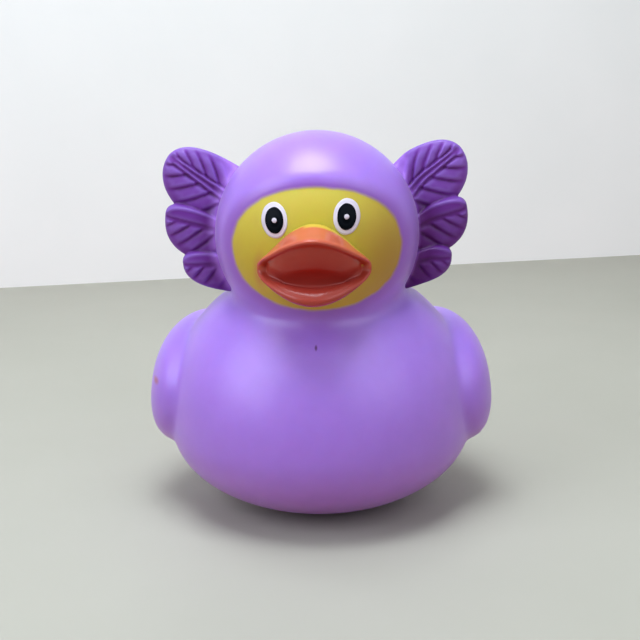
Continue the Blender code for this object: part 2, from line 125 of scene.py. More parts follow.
WING_SPAN = 0.0774
WING_HALF_HEIGHT = 0.0140
WING_HALF_THICKNESS = 0.0085
WING_FRONT = 0.0125
WING_BACK = 0.0300
WING_HEIGHT = 0.0270
WING_TIP_RISE = 0.0085
WING_TIP_TUCK = 0.0075
WING_LEAN = math.radians(8)
WING_SQUARENESS = 2.3
WING_FULLEST_AT = 0.40

WINDOW_SIDE = math.radians(55.6)
WINDOW_TURN = math.radians(1.4)
WINDOW_TOP = math.radians(33.3)
WINDOW_BOTTOM = math.radians(40.5)
WINDOW_SQUARENESS = 2.15
WINDOW_DEPTH = 0.0010
WINDOW_ROLL = 0.0036
# The hood's edge takes most of the window's depth as a soft roll and the rest as a crisp step.
# The step starts at the first of these shares of the window's size and runs over the second.
ROLLED_SHARE, STEPPED_SHARE = 0.8, 0.2
STEP_START, STEP_RUN = 1.03, 0.06

NECK_REACH = 0.0075
NECK_BELOW_HEAD_CENTRE = 0.008
NECK_FADE = 0.006
NECK_RELAX_STEPS = 90

VENT_RADIUS = 0.0020
SKIN_VOXEL = 0.0006
SKIN_RELAX_STEPS = 22
FRILL_BEHIND_HEAD_CENTRE = 0.0020

VINYL_LILAC = ("#986ed4", "#a177dd")
# The hood's rim is painted darker purple, a painted shade in its roll.
RIM_SHADE_PURPLE = "#8448b4"
FACE_YELLOW = ("#b7a808", "#c3b614")
# A browner yellow for the painted shade on the far cheek.
SHADED_CHEEK_YELLOW = "#a88810"
# The hood's darker purple beside the frills.
BESIDE_FRILL_PURPLE = "#7440a0"

# Real sizes of the patterns in the finish. The mould's own grain is finer than half a
# millimetre, but a finer one wouldn't show in the render.
VINYL_CLOUDS = 0.004
PAINT_EDGE_WANDER = 0.005
VINYL_GRAIN = 0.0005

# Shares of the window's size between which the face's paint and the rim's painted shade fade out.
PAINT_FADE, PAINT_WANDER_SHARE = (1.055, 0.995), 0.06
RIM_SHADE_FADE, RIM_SHADE_SHARE = (1.24, 1.05), 0.55
VINYL_ROUGHNESS, FACE_PAINT_ROUGHNESS = 0.38, 0.60

# The yellow is painted darker and browner on the cheek to the duck's left, a painted shade.
SHADED_CHEEK = ((0.0170, -0.024, 0.0570), (0.0075, 0.0120))

# Centre, half width and half height, softness and colour of a breath of orange overspray
# beside the bill, a dark speck on the breast and a rubbed spot on the wing.
STAINS = (
    ((-0.0110, -0.028, 0.0566), (0.0012, 0.0030), 0.8, "#bb8030"),
    ((0.0001, -0.0290, 0.0411), (0.00024, 0.00045), 0.6, "#5a2a72"),
    ((-0.0366, -0.0109, 0.0295), (0.00065, 0.00065), 0.8, "#a0507c"),
)
# No stain or painted shade reaches through to the back of the duck.
STAIN_AND_SHADE_DEPTH = 0.012

# The hood is darker purple beside the frills, between these heights in degrees about the
# head's centre, each with its fade, and to this reach before and behind the frill. It is less
# dark on the duck's right.
BESIDE_FRILL_LOW, BESIDE_FRILL_LOW_FADE = -34, 14
BESIDE_FRILL_HIGH, BESIDE_FRILL_HIGH_FADE = 40, 16
BESIDE_FRILL_START, BESIDE_FRILL_REACH = 0.001, 0.0150
BESIDE_FRILL_RIGHT, BESIDE_FRILL_LEFT = 0.5, 0.8


def apply_modifiers(piece):
    """Makes what the object's modifiers show its own mesh."""
    graph = bpy.context.evaluated_depsgraph_get()
    shown = bpy.data.meshes.new_from_object(piece.evaluated_get(graph))
    piece.modifiers.clear()
    piece.data = shown


def object_from(name, mesh):
    """An object of this bmesh in the scene."""
    data = bpy.data.meshes.new(name)
    mesh.to_mesh(data)
    mesh.free()
    made = bpy.data.objects.new(name, data)
    bpy.context.scene.collection.objects.link(made)
    return made


def oval(centre, across, up, half_width, half_height, count=64, squareness=2.0):
    """Points round an oval in the plane of two directions."""
    points = []
    for i in range(count):
        turn = 2 * math.pi * i / count
        x, y = math.cos(turn), math.sin(turn)
        scale = (abs(x) ** squareness + abs(y) ** squareness) ** (-1 / squareness)
        points.append(centre + across * (half_width * x * scale) + up * (half_height * y * scale))
    return points


def quadratic(points, share):
    """The point at this share of a curve through a start, towards a middle, to an end."""
    start, middle, end = (Vector(point) for point in points)
    return start.lerp(middle, share).lerp(middle.lerp(end, share), share)


def loft(name, loops, fan_caps=True):
    """Skins a run of closed loops and closes both ends."""
    mesh = bmesh.new()
    rings = [[mesh.verts.new(point) for point in loop] for loop in loops]
    count = len(rings[0])
    for ring, following in zip(rings, rings[1:]):
        for i in range(count):
            j = (i + 1) % count
            mesh.faces.new((ring[i], ring[j], following[j], following[i]))
    for ring in (rings[0], rings[-1]):
        if fan_caps:
            middle = mesh.verts.new(sum((vert.co for vert in ring), Vector()) / count)
            for i in range(count):
                mesh.faces.new((ring[i], ring[(i + 1) % count], middle))
        else:
            for i in range(count // 2 - 1):
                mesh.faces.new((ring[i], ring[i + 1], ring[count - i - 2], ring[count - i - 1]))
    bmesh.ops.recalc_face_normals(mesh, faces=mesh.faces)
    return object_from(name, mesh)


def egg(name, centre, half_width, front, back, top, bottom, segments=96, fullness=2.0):
    """A ball with its own reach to the front, back, top and bottom of its widest section.

    fullness above 2 squares the upper half, at its sides and behind.
    """
    mesh = bmesh.new()
    bmesh.ops.create_uvsphere(mesh, u_segments=segments, v_segments=segments // 2, radius=1)
    for vert in mesh.verts:
        x, y, z = vert.co
        reach = math.hypot(x, y)
        if 0 < z < 1 and reach > 0:
            swell = (1 - z**fullness) ** (1 / fullness) / reach
            x, y = x * swell, y * (swell if y > 0 else 1)
        vert.co = centre + Vector(
            (x * half_width, y * (front if y < 0 else back), z * (top if z > 0 else bottom))
        )
    return object_from(name, mesh)


def body_egg(inset, segments=96):
    """The egg of the body, drawn in by this much."""
    depth = BODY_WIDEST_HEIGHT / math.sqrt(1 - (BASE_HALF_WIDTH / BODY_HALF_WIDTH) ** 2)
    return egg(
        "body",
        Vector((0, body_axis_y, BODY_WIDEST_HEIGHT)),
        BODY_HALF_WIDTH - inset,
        BREAST_REACH - inset,
        RUMP_REACH - inset,
        HEAD_CENTRE.z - BODY_TOP_BELOW_HEAD_CENTRE - BODY_WIDEST_HEIGHT - inset,
        depth - inset,
        segments,
        SHOULDER_FULLNESS,
    )


def tail():
    """Ovals swept back and up from inside the rump to a rounded tip."""
    tip_y = body_axis_y + RUMP_REACH + TAIL_OVERHANG - TAIL_TIP_HALF_HEIGHT
    tip = Vector((0, tip_y, TAIL_TIP_HEIGHT))
    # From deep in the body, past the rump, to the tip.
    path = (
        (0, body_axis_y, BODY_WIDEST_HEIGHT + TAIL_ROOT_HALF_HEIGHT / 2),
        (0, body_axis_y + RUMP_REACH * 0.9, BODY_WIDEST_HEIGHT + TAIL_ROOT_HALF_HEIGHT / 4),
        tip,
    )
    sideways = Vector((1, 0, 0))
    loops = []
    steps = 40
    for i in range(steps + 1):
        share = i / steps
        ahead = (quadratic(path, share + 0.01) - quadratic(path, share - 0.01)).normalized()
        up = sideways.cross(ahead)
        half_width = TAIL_TIP_HALF_WIDTH
        half_width += (TAIL_ROOT_HALF_WIDTH - TAIL_TIP_HALF_WIDTH) * (1 - share)
        half_height = TAIL_TIP_HALF_HEIGHT
        half_height += (TAIL_ROOT_HALF_HEIGHT - TAIL_TIP_HALF_HEIGHT) * (1 - share) ** TAIL_TAPER
        loops.append(oval(quadratic(path, share), sideways, up, half_width, half_height))
    # Ever smaller ovals close the rounded tip.
    for rise in TAIL_TIP_ANGLES:
        here = tip + ahead * (TAIL_TIP_HALF_HEIGHT * math.sin(rise))
        half_width = TAIL_TIP_HALF_WIDTH * math.cos(rise)
        loops.append(oval(here, sideways, up, half_width, TAIL_TIP_HALF_HEIGHT * math.cos(rise)))
    return loft("tail", loops)


def wing(side):
    """Leaf sections along a flank, blunt in front and drawn out to the raised tip behind."""
    fullest = WING_FULLEST_AT
    blunt, drawn = 0.5, 0.5 * (1 - fullest) / fullest
    peak = fullest**blunt * (1 - fullest) ** drawn
    middle = WING_SPAN / 2 - WING_HALF_THICKNESS
    across = Vector((side * math.cos(WING_LEAN), 0, math.sin(WING_LEAN)))
    up = Vector((-side * math.sin(WING_LEAN), 0, math.cos(WING_LEAN)))
    steps = 64
    loops = []
    for i in range(1, steps):
        share = 0.5 - 0.5 * math.cos(math.pi * i / steps)
        fullness = share**blunt * (1 - share) ** drawn / peak
        swing = share**2 - fullest**2
        here = Vector(
            (
                side * (middle - WING_TIP_TUCK * swing),
                body_axis_y - WING_FRONT + share * (WING_FRONT + WING_BACK),
                WING_HEIGHT + WING_TIP_RISE * swing,
            )
        )
        half_width, half_height = WING_HALF_THICKNESS * fullness, WING_HALF_HEIGHT * fullness
        loops.append(
            oval(here, across, up, half_width, half_height, squareness=WING_SQUARENESS)
        )
    return loft("wing", loops)


def join(pieces, name):
    """Several objects as one."""
    bpy.ops.object.select_all(action="DESELECT")
    for piece in pieces:
        piece.select_set(True)
    bpy.context.view_layer.objects.active = pieces[0]
    bpy.ops.object.join()
    pieces[0].name = name
    return pieces[0]


def fuse(pieces, name, voxel, relax_steps):
    """One relaxed skin round overlapping closed forms."""
    skin = join(pieces, name)
    remesh = skin.modifiers.new("fuse", "REMESH")
    remesh.mode = "VOXEL"
    remesh.voxel_size = voxel
    relax = skin.modifiers.new("relax", "SMOOTH")
    relax.factor = 0.5
    relax.iterations = relax_steps
    apply_modifiers(skin)
    return skin


def read_points(mesh):
    """A mesh's vertices as an array."""
    points = np.empty(len(mesh.vertices) * 3, dtype=np.float32)
    mesh.vertices.foreach_get("co", points)
    return points.reshape(-1, 3).astype(float)


def write_points(mesh, points):
    """Moves a mesh's vertices to the rows of an array."""
    mesh.vertices.foreach_set("co", points.astype(np.float32).ravel())
    mesh.update()


def smooth_share(values):
    """Eases from 0 at 0 to 1 at 1."""
    values = np.clip(values, 0, 1)
    return values * values * (3 - 2 * values)


def window_gauge(points):
    """Under 1 inside the face window, 1 on its edge and more on the hood."""
    aim = points - np.array(HEAD_CENTRE)
    aim /= np.linalg.norm(aim, axis=1, keepdims=True)
    side = np.arctan2(aim[:, 0], -aim[:, 1]) - WINDOW_TURN
    rise = np.arcsin(np.clip(aim[:, 2], -1, 1))
    middle, half = (WINDOW_TOP - WINDOW_BOTTOM) / 2, (WINDOW_TOP + WINDOW_BOTTOM) / 2
    power = WINDOW_SQUARENESS
    total = np.abs(side / WINDOW_SIDE) ** power + np.abs((rise - middle) / half) ** power
    return total ** (1 / power)


def ease_neck(skin):
    """Widens the soft hollow where the head sinks into the body."""
    points = read_points(skin.data)
    reach = np.linalg.norm(points - np.array(HEAD_CENTRE), axis=1)
    weights = smooth_share(1 - np.abs(reach - HEAD_RADIUS) / NECK_REACH)
    weights *= smooth_share((HEAD_CENTRE.z - NECK_BELOW_HEAD_CENTRE - points[:, 2]) / NECK_FADE)
    neck = skin.vertex_groups.new(name="neck")
    for i in np.flatnonzero(weights > 0.01):
        neck.add([int(i)], float(weights[i]), "REPLACE")
    ease = skin.modifiers.new("ease", "SMOOTH")
    ease.factor = 0.5
    ease.iterations = NECK_RELAX_STEPS
    ease.vertex_group = "neck"
    apply_modifiers(skin)
    skin.vertex_groups.clear()


def sink_face(skin):
    """Sinks the face behind the hood, and rolls the hood's edge in towards it."""
    points = read_points(skin.data)
    aim = points - np.array(HEAD_CENTRE)
    distance = np.linalg.norm(aim, axis=1)
    gauge = window_gauge(points)
    half_angle = (WINDOW_TOP + WINDOW_BOTTOM) / 2
    outside = (gauge - 1) * half_angle * HEAD_RADIUS / WINDOW_ROLL
    on_hood = (distance < HEAD_RADIUS * HEAD_SKIN[1]) & (aim[:, 1] < 0)
    roll = np.clip(1 - outside, 0, 1) ** 2
    step = smooth_share((STEP_START - gauge) / STEP_RUN)
    rolled = np.where(gauge < 1, 1.0, roll)
    depth = WINDOW_DEPTH * (ROLLED_SHARE * rolled + STEPPED_SHARE * step)
    moved = points - aim / distance[:, None] * depth[:, None]
    points[on_hood] = moved[on_hood]
    write_points(skin.data, points)


def cut(piece, cutter):
    """Takes one closed form out of another."""
    step = piece.modifiers.new("cut", "BOOLEAN")
    step.object = cutter
    step.operation = "DIFFERENCE"
    step.solver = "EXACT"
    apply_modifiers(piece)
    bpy.data.objects.remove(cutter)


def block_below(height):
    """A block wider than the duck, with its top at this height."""
    size = 0.2
    mesh = bmesh.new()
    bmesh.ops.create_cube(mesh, size=size)
    for vert in mesh.verts:
        vert.co.z += height - size / 2
    return object_from("below", mesh)


def hollow(skin):
    """Cuts the base flat, and takes out the cavity and the vent hole."""
    cut(skin, block_below(0))
    cavity = body_egg(WALL, 48)
    cut(cavity, block_below(WALL))
    cut(skin, cavity)
    inner = HEAD_RADIUS - WINDOW_DEPTH - WALL
    cut(skin, egg("inner_head", HEAD_CENTRE, inner, inner, inner, inner, inner, 48))
    vent_centre = Vector((0, body_axis_y, 0))
    loops = [
        oval(
            vent_centre + Vector((0, 0, height)),
            Vector((1, 0, 0)),
            Vector((0, 1, 0)),
            VENT_RADIUS,
            VENT_RADIUS,
        )
        for height in (-WALL, 2 * WALL)
    ]
    cut(skin, loft("vent", loops))


skin = fuse(
    [
        body_egg(0),
        tail(),
        egg("hood", HEAD_CENTRE, *[HEAD_RADIUS] * 5),
        wing(-1),
        wing(1),
    ],
    "duck_skin",
    SKIN_VOXEL,
    SKIN_RELAX_STEPS,
)
ease_neck(skin)
sink_face(skin)
hollow(skin)
skin.data.shade_smooth()
skin.data.set_sharp_from_angle(angle=math.radians(50))


def linear(hex_colour):
    """A colour written as sRGB hex, as the linear values that the shaders take."""
    channels = [int(hex_colour[i : i + 2], 16) / 255 for i in (1, 3, 5)]
    return (
        *(c / 12.92 if c <= 0.04045 else ((c + 0.055) / 1.055) ** 2.4 for c in channels),
        1.0,
    )


def new_material(name):
    """An empty node material, with its Principled shader."""
    material = bpy.data.materials.new(name)
    material.use_nodes = True
    return material, material.node_tree.nodes["Principled BSDF"]


def add_node(tree, kind, inputs=None, **settings):
    """Adds a node, sets its properties, and sets or links its inputs by name or number."""
    node = tree.nodes.new(kind)
    for key, value in settings.items():
        setattr(node, key, value)
    for key, value in (inputs or {}).items():
        if isinstance(value, bpy.types.NodeSocket):
            tree.links.new(value, node.inputs[key])
        else:
            node.inputs[key].default_value = value
    return node


def mixed(tree, share, below, above):
    """The colour above laid over the colour below by this share."""
    return add_node(
        tree, "ShaderNodeMix", {0: share, 6: below, 7: above}, data_type="RGBA"
    ).outputs[2]


def oval_mask(tree, place, centre, half_sizes, softness):
    """1 inside an oval mark, as seen from the duck's front, and 0 outside it."""
    local = add_node(
        tree,
        "ShaderNodeMapping",
        {0: place, 1: centre, 3: (half_sizes[0], STAIN_AND_SHADE_DEPTH, half_sizes[1])},
        vector_type="TEXTURE",
    )
    reach = add_node(tree, "ShaderNodeVectorMath", {0: local.outputs[0]}, operation="LENGTH")
    return add_node(
        tree,
        "ShaderNodeMapRange",
        {0: reach.outputs[1], 1: 1 + softness, 2: 1 - softness, 3: 0.0, 4: 1.0},
        interpolation_type="SMOOTHSTEP",
    ).outputs[0]


def vinyl_skin_finish():
    """Rotocast vinyl: lilac all through, soft to the eye, with sprayed paint on the face, painted
    shade round it, and darker purple beside the frills.
    """
    material, shader = new_material("rotocast_vinyl")
    tree = material.node_tree
    place = add_node(tree, "ShaderNodeTexCoord").outputs["Object"]
    mottle = add_node(
        tree, "ShaderNodeTexNoise", {"Vector": place, "Scale": 1 / VINYL_CLOUDS, "Detail": 4.0}
    ).outputs["Fac"]
    colour = mixed(tree, mottle, *(linear(lilac) for lilac in VINYL_LILAC))

    # The hood is darker purple beside the frills.
    beside_frill = add_node(tree, "ShaderNodeAttribute", attribute_name="purple_share").outputs["Fac"]
    colour = mixed(tree, beside_frill, colour, linear(BESIDE_FRILL_PURPLE))

    # The face paint ends in a soft edge that wanders by a few tenths of a millimetre, and the
    # hood is painted darker all round it, a painted shade in the roll of its rim.
    gauge = add_node(tree, "ShaderNodeAttribute", attribute_name="window").outputs["Fac"]
    wander = add_node(
        tree, "ShaderNodeTexNoise", {"Vector": place, "Scale": 1 / PAINT_EDGE_WANDER, "Detail": 5.0}
    ).outputs["Fac"]
    ragged = add_node(
        tree,
        "ShaderNodeMath",
        {0: wander, 1: PAINT_WANDER_SHARE, 2: gauge},
        operation="MULTIPLY_ADD",
    ).outputs[0]
    painted = add_node(
        tree,
        "ShaderNodeMapRange",
        {0: ragged, 1: PAINT_FADE[0], 2: PAINT_FADE[1], 3: 0.0, 4: 1.0},
        interpolation_type="SMOOTHSTEP",
    ).outputs[0]
    rim = add_node(
        tree,
        "ShaderNodeMapRange",
        {0: ragged, 1: RIM_SHADE_FADE[0], 2: RIM_SHADE_FADE[1], 3: 0.0, 4: RIM_SHADE_SHARE},
        interpolation_type="SMOOTHSTEP",
    ).outputs[0]
    colour = mixed(tree, rim, colour, linear(RIM_SHADE_PURPLE))
    yellow = mixed(tree, mottle, *(linear(paint) for paint in FACE_YELLOW))
    # Painted shade: the yellow is darker and browner on the cheek to the duck's left.
    shaded_cheek = oval_mask(tree, place, *SHADED_CHEEK, 0.9)
    yellow = mixed(tree, shaded_cheek, yellow, linear(SHADED_CHEEK_YELLOW))
    colour = mixed(tree, painted, colour, yellow)

    for centre, half_sizes, softness, stain in STAINS:
        mask = oval_mask(tree, place, centre, half_sizes, softness)
        colour = mixed(tree, mask, colour, linear(stain))

    grain = add_node(
        tree, "ShaderNodeTexNoise", {"Vector": place, "Scale": 1 / VINYL_GRAIN}
    ).outputs["Fac"]
    bump = add_node(
        tree, "ShaderNodeBump", {"Height": grain, "Strength": 0.06, "Distance": 0.0002}
    )
    tree.links.new(colour, shader.inputs["Base Color"])
    tree.links.new(bump.outputs[0], shader.inputs["Normal"])
    dull = add_node(
        tree, "ShaderNodeMapRange", {0: painted, 3: VINYL_ROUGHNESS, 4: FACE_PAINT_ROUGHNESS}
    )
    tree.links.new(dull.outputs[0], shader.inputs["Roughness"])
    shader.inputs["IOR"].default_value = 1.53
    shader.inputs["Specular IOR Level"].default_value = 0.65
    shader.inputs["Sheen Weight"].default_value = 0.12
    shader.inputs["Sheen Roughness"].default_value = 0.5
    shader.inputs["Subsurface Weight"].default_value = 0.4
    shader.inputs["Subsurface Radius"].default_value = (1.0, 0.35, 0.45)
    shader.inputs["Subsurface Scale"].default_value = 0.003
    return material


def beside_frill_purple_share(points):
    """How much darker purple the hood is: most beside the frills, none in front."""
    local = points - np.array(HEAD_CENTRE)
    reach = np.linalg.norm(local, axis=1)
    height = np.degrees(np.arctan2(local[:, 2], np.abs(local[:, 0])))
    off_frill = np.abs(local[:, 1] - FRILL_BEHIND_HEAD_CENTRE)
    beside = smooth_share((height - BESIDE_FRILL_LOW) / BESIDE_FRILL_LOW_FADE)
    beside = beside * smooth_share((BESIDE_FRILL_HIGH - height) / BESIDE_FRILL_HIGH_FADE)
    near = 1 - smooth_share((off_frill - BESIDE_FRILL_START) / BESIDE_FRILL_REACH)
    # The darkening is weaker on the duck's right.
    coat = np.where(local[:, 0] < 0, BESIDE_FRILL_RIGHT, BESIDE_FRILL_LEFT)
    on_head = (reach < HEAD_RADIUS * BESIDE_FRILL_SKIN) * (reach > HEAD_RADIUS * HEAD_SKIN[0])
    return coat * beside * near * on_head


def write_values(mesh, name, values):
    """Gives a mesh a value at each vertex, for its material to read by this name."""
    attribute = mesh.attributes.new(name, "FLOAT", "POINT")
    attribute.data.foreach_set("value", np.asarray(values, dtype=np.float32))


skin_points = read_points(skin.data)
write_values(skin.data, "window", window_gauge(skin_points))
write_values(skin.data, "purple_share", beside_frill_purple_share(skin_points))
skin.data.materials.clear()
skin.data.materials.append(vinyl_skin_finish())
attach(skin, "root")
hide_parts("duck")


# Eyes.
# Each eye is three layers of pad printed ink on the yellow face, white, then black, then a
# white glint. The pad sat 0.6 mm off the middle and a little askew, and both ovals lean out.

EYE_SPACING = 0.01445
EYE_ABOVE_CENTRE = 0.0057
EYE_PRINT_SHIFT = -0.0006
EYE_WHITE = (0.00265, 0.0035)
EYE_BLACK = (0.0019, 0.0026)
EYE_GLINT = (0.0005, 0.0005)
EYE_LEAN = math.radians(5)
EYE_PRINT_TILT = 0.0003
INK_THICKNESS = 0.00004
INK_CLOUDS = 0.0012
WHITE_INK = ("#c9c6d2", "#d6d3dc")
BLACK_INK = ("#03070d", "#070c14")


def face_depth(across, above):
    """The Y of the face's surface at this distance across and above the head's centre."""
    radius = HEAD_RADIUS - WINDOW_DEPTH
    return HEAD_CENTRE.y - math.sqrt(radius**2 - across**2 - above**2)


def print_ring(side, half_sizes, lean, lift, wobble, count=72):
    """Points of one print's edge, laid on the face and lifted off it by the ink."""
    ring = []
    for i in range(count):
        turn = 2 * math.pi * i / count
        uneven = 1 + wobble * (math.sin(3 * turn + side) + 0.6 * math.sin(7 * turn + 2 * side))
        x = half_sizes[0] * math.cos(turn) * uneven
        z = half_sizes[1] * math.sin(turn) * uneven
        across = side * EYE_SPACING / 2 + EYE_PRINT_SHIFT
        across += x * math.cos(lean) + z * math.sin(lean)
        above = EYE_ABOVE_CENTRE + EYE_PRINT_TILT * (side - 0.4)
        above += z * math.cos(lean) - x * math.sin(lean)
        ring.append(Vector((across, face_depth(across, above) - lift, HEAD_CENTRE.z + above)))
    return ring


def eye_print(side):
    """One eye as a sheet of ink: glint, black and white bands round its middle."""
    lean = side * EYE_LEAN
    lift = INK_THICKNESS
    mid_white = [(0.5 * w + 0.5 * b) for w, b in zip(EYE_WHITE, EYE_BLACK)]
    mid_black = [0.5 * (b + g) for b, g in zip(EYE_BLACK, EYE_GLINT)]
    # Each ring from the middle out, with the ink between it and the ring before: 0 and 2 are
    # white and 1 is black. A print stands one layer of ink above the one that it lies on.
    bands = [
        (print_ring(side, EYE_GLINT, 0, 3 * lift, 0.02), 2),
        (print_ring(side, [size * 1.05 for size in EYE_GLINT], 0, 2 * lift, 0.02), 1),
        (print_ring(side, mid_black, lean / 3, 2 * lift, 0.0), 1),
        (print_ring(side, EYE_BLACK, lean / 2, 2 * lift, 0.010), 1),
        (print_ring(side, [size * 1.015 for size in EYE_BLACK], lean / 2, lift, 0.010), 0),
        (print_ring(side, mid_white, lean * 0.8, lift, 0.004), 0),
        (print_ring(side, EYE_WHITE, lean, lift, 0.008), 0),
        (print_ring(side, [size * 1.01 for size in EYE_WHITE], lean, -lift, 0.008), 0),
    ]
    mesh = bmesh.new()
    rings = [[mesh.verts.new(point) for point in ring] for ring, ink in bands]
    middle = mesh.verts.new(sum((vert.co for vert in rings[0]), Vector()) / len(rings[0]))
    count = len(rings[0])
    for i in range(count):
        mesh.faces.new((middle, rings[0][i], rings[0][(i + 1) % count])).material_index = 2
    for (ring, ink), inner, outer in zip(bands[1:], rings, rings[1:]):
        for i in range(count):
            j = (i + 1) % count
            face = mesh.faces.new((inner[i], outer[i], outer[j], inner[j]))
            face.material_index = ink
    for face in mesh.faces:
        face.normal_update()
        if face.normal.y > 0:
            face.normal_flip()
    return object_from("eye_right" if side < 0 else "eye_left", mesh)


def ink_finish(name, colours, roughness, specular):
    """Pad printing ink: a thin, even, satin film, cloudy where it went on thin."""
    material, shader = new_material(name)
    tree = material.node_tree
    place = add_node(tree, "ShaderNodeTexCoord").outputs["Object"]
    cloud = add_node(
        tree, "ShaderNodeTexNoise", {"Vector": place, "Scale": 1 / INK_CLOUDS, "Detail": 4.0}
    ).outputs["Fac"]
    colour = mixed(tree, cloud, *(linear(ink) for ink in colours))
    tree.links.new(colour, shader.inputs["Base Color"])
    shader.inputs["Roughness"].default_value = roughness
    shader.inputs["Specular IOR Level"].default_value = specular
    return material


white_ink = ink_finish("white_pad_print_ink", WHITE_INK, 0.45, 0.3)
black_ink = ink_finish("black_pad_print_ink", BLACK_INK, 0.30, 0.04)
for side in (-1, 1):
    eye = eye_print(side)
    eye.data.shade_smooth()
    for ink in (white_ink, black_ink, white_ink):
        eye.data.materials.append(ink)
    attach(eye, "root")
    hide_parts("duck")


# Bill.
# The open bill is part of the same casting, solid at its lips, and sprayed orange through a
# mask that sits a little low and to the left. The paint is glossier than the bare vinyl.

BILL_HALF_WIDTH = 0.0113
BILL_REACH = 0.0085
BILL_CORNER_DROP = 0.0043
BILL_CORNER_HALF_HEIGHT = 0.0015
UPPER_ROOT_HEIGHT = 0.0093
UPPER_LIP_HEIGHT = 0.0072
LOWER_ROOT_HEIGHT = 0.0068
LOWER_LIP_HEIGHT = 0.0063
LOWER_LIP_SET_BACK = 0.0010
LIP_THICKNESS = 0.0012
LOWER_LIP_THICKNESS = 0.0019
CHEEK_WIDTH = 0.0018
ROOT_PEAK = 2.8
LIP_PEAK = 2.4
MOUTH_HALF_WIDTH = 0.0062
MOUTH_FOLD_DROP = 0.0020
MOUTH_DEPTH = 0.0043
# The fold of the mouth closes to a slit over this last part of the way in.
SLIT_START, SLIT_RUN = 0.8, 0.2

BILL_ORANGE = ("#bc5a3c", "#c96647")
# A painted shade inside the mouth.
MOUTH_SHADE_RED = "#981a10"
LOWER_LIP_RED, LOWER_LIP_SHARE = "#9c352c", 0.85
BARE_YELLOW = "#c8ae3c"
# The mask left the face's yellow bare along the root of the bill on the duck's left.
BARE_WIDTH, BARE_EDGE = 0.0015, 0.0003
BARE_FADE_ACROSS, BARE_FADE_DOWN = 0.006, 0.001
LOWER_LIP_FADE = 0.0016

ENAMEL_CLOUDS = 0.003
ENAMEL_RIPPLE = 0.0018


def bill_loop(half_width, top, bottom, corner, upper, lower, peak=1.25, drop=0, count=64):
    """A closed outline of the bill, with its heights about its blunt corners."""
    points = []
    for i in range(count):
        turn = 2 * math.pi * (i + 0.5) / count
        across, up = math.cos(turn), math.sin(turn)
        reach, middle = (top, upper) if up > 0 else (-bottom, lower)
        blunt = math.copysign(min(BILL_CORNER_HALF_HEIGHT, abs(reach) / 3), reach)
        blunt *= min(1, abs(up) / 0.4) ** 0.5
        height = blunt + (reach - blunt) * abs(up) ** peak
        depth = corner + (middle - corner) * abs(up) ** 1.35
        points.append(
            Vector((half_width * across, depth, HEAD_CENTRE.z - BILL_CORNER_DROP - drop + height))
        )
    return points


def bill():
    """Loops from inside the head, out over both lips and back down into the dish of the mouth."""
    wide, lip, mouth = BILL_HALF_WIDTH, LIP_THICKNESS, MOUTH_HALF_WIDTH
    corner = face_depth(wide, BILL_CORNER_DROP)
    root = face_depth(0, 0)
    upper = root - BILL_REACH
    lower = upper + LOWER_LIP_SET_BACK
    lip_corner = corner - 2 * lip
    fold = upper + MOUTH_DEPTH
    fold_corner = (lip_corner + fold) / 2
    inside = root + wide / 2
    top, bottom = UPPER_LIP_HEIGHT, LOWER_LIP_HEIGHT
    high, low = UPPER_ROOT_HEIGHT, LOWER_ROOT_HEIGHT

    def rim(share, back):
        """A loop round both lips: share is how far it has come from their outside to the mouth."""
        return bill_loop(
            wide - CHEEK_WIDTH * share,
            top - lip * share,
            bottom - LOWER_LIP_THICKNESS * share,
            lip_corner + back / 4,
            upper + back,
            lower + back,
            LIP_PEAK,
        )

    def dish(share):
        """A loop inside the mouth: hollow above, and full like a tongue over the lower lip."""
        narrow = 1 - share**2
        slit = lip * max(0, share - SLIT_START) / SLIT_RUN
        return bill_loop(
            mouth + (wide - CHEEK_WIDTH - mouth) * narrow,
            (top - lip) * narrow + lip / 4,
            (bottom - LOWER_LIP_THICKNESS) * (1 - share) + lip / 4 + slit * 0.9,
            lip_corner + (fold_corner - lip_corner) * share,
            upper + (fold - upper) * share + slit,
            lower + lip / 3 + (fold - lower) * share**2 + slit,
            LIP_PEAK,
            MOUTH_FOLD_DROP * share,
        )

    # Each loop, with how far the mouth's painted shade, a deep red darkest deepest in, covers
    # its upper and its lower half.
    loops = (
        (bill_loop(wide * 0.6, high * 0.5, low * 0.5, inside, inside, inside), 0, 0),
        (bill_loop(wide * 0.97, high, low, corner + lip, root + lip, root + lip, ROOT_PEAK), 0, 0),
        (bill_loop(wide, high * 0.97, low, corner, root, root, ROOT_PEAK), 0, 0),
        (rim(-0.2, 2 * lip), 0, 0),
        (rim(0, lip / 2), 0, 0),
        (rim(0.35, 0), 0.3, 0),
        (rim(0.7, 0), 0.65, 0.1),
        (rim(1, lip / 3), 0.75, 0.1),
        (dish(0.2), 0.70, 0.15),
        (dish(0.4), 0.70, 0.40),
        (dish(0.6), 0.78, 0.70),
        (dish(0.8), 0.92, 1.0),
        (dish(0.9), 1.0, 1.0),
        (dish(0.98), 1.0, 1.0),
    )
    made = loft("beak", [loop for loop, above, below in loops], fan_caps=False)
    half = len(loops[0][0]) // 2
    cover = [share for loop, above, below in loops for share in [above] * half + [below] * half]
    write_values(made.data, "mouth", cover)
    smooth = made.modifiers.new("smooth", "SUBSURF")
    smooth.levels = smooth.render_levels = 2
    apply_modifiers(made)
    return made


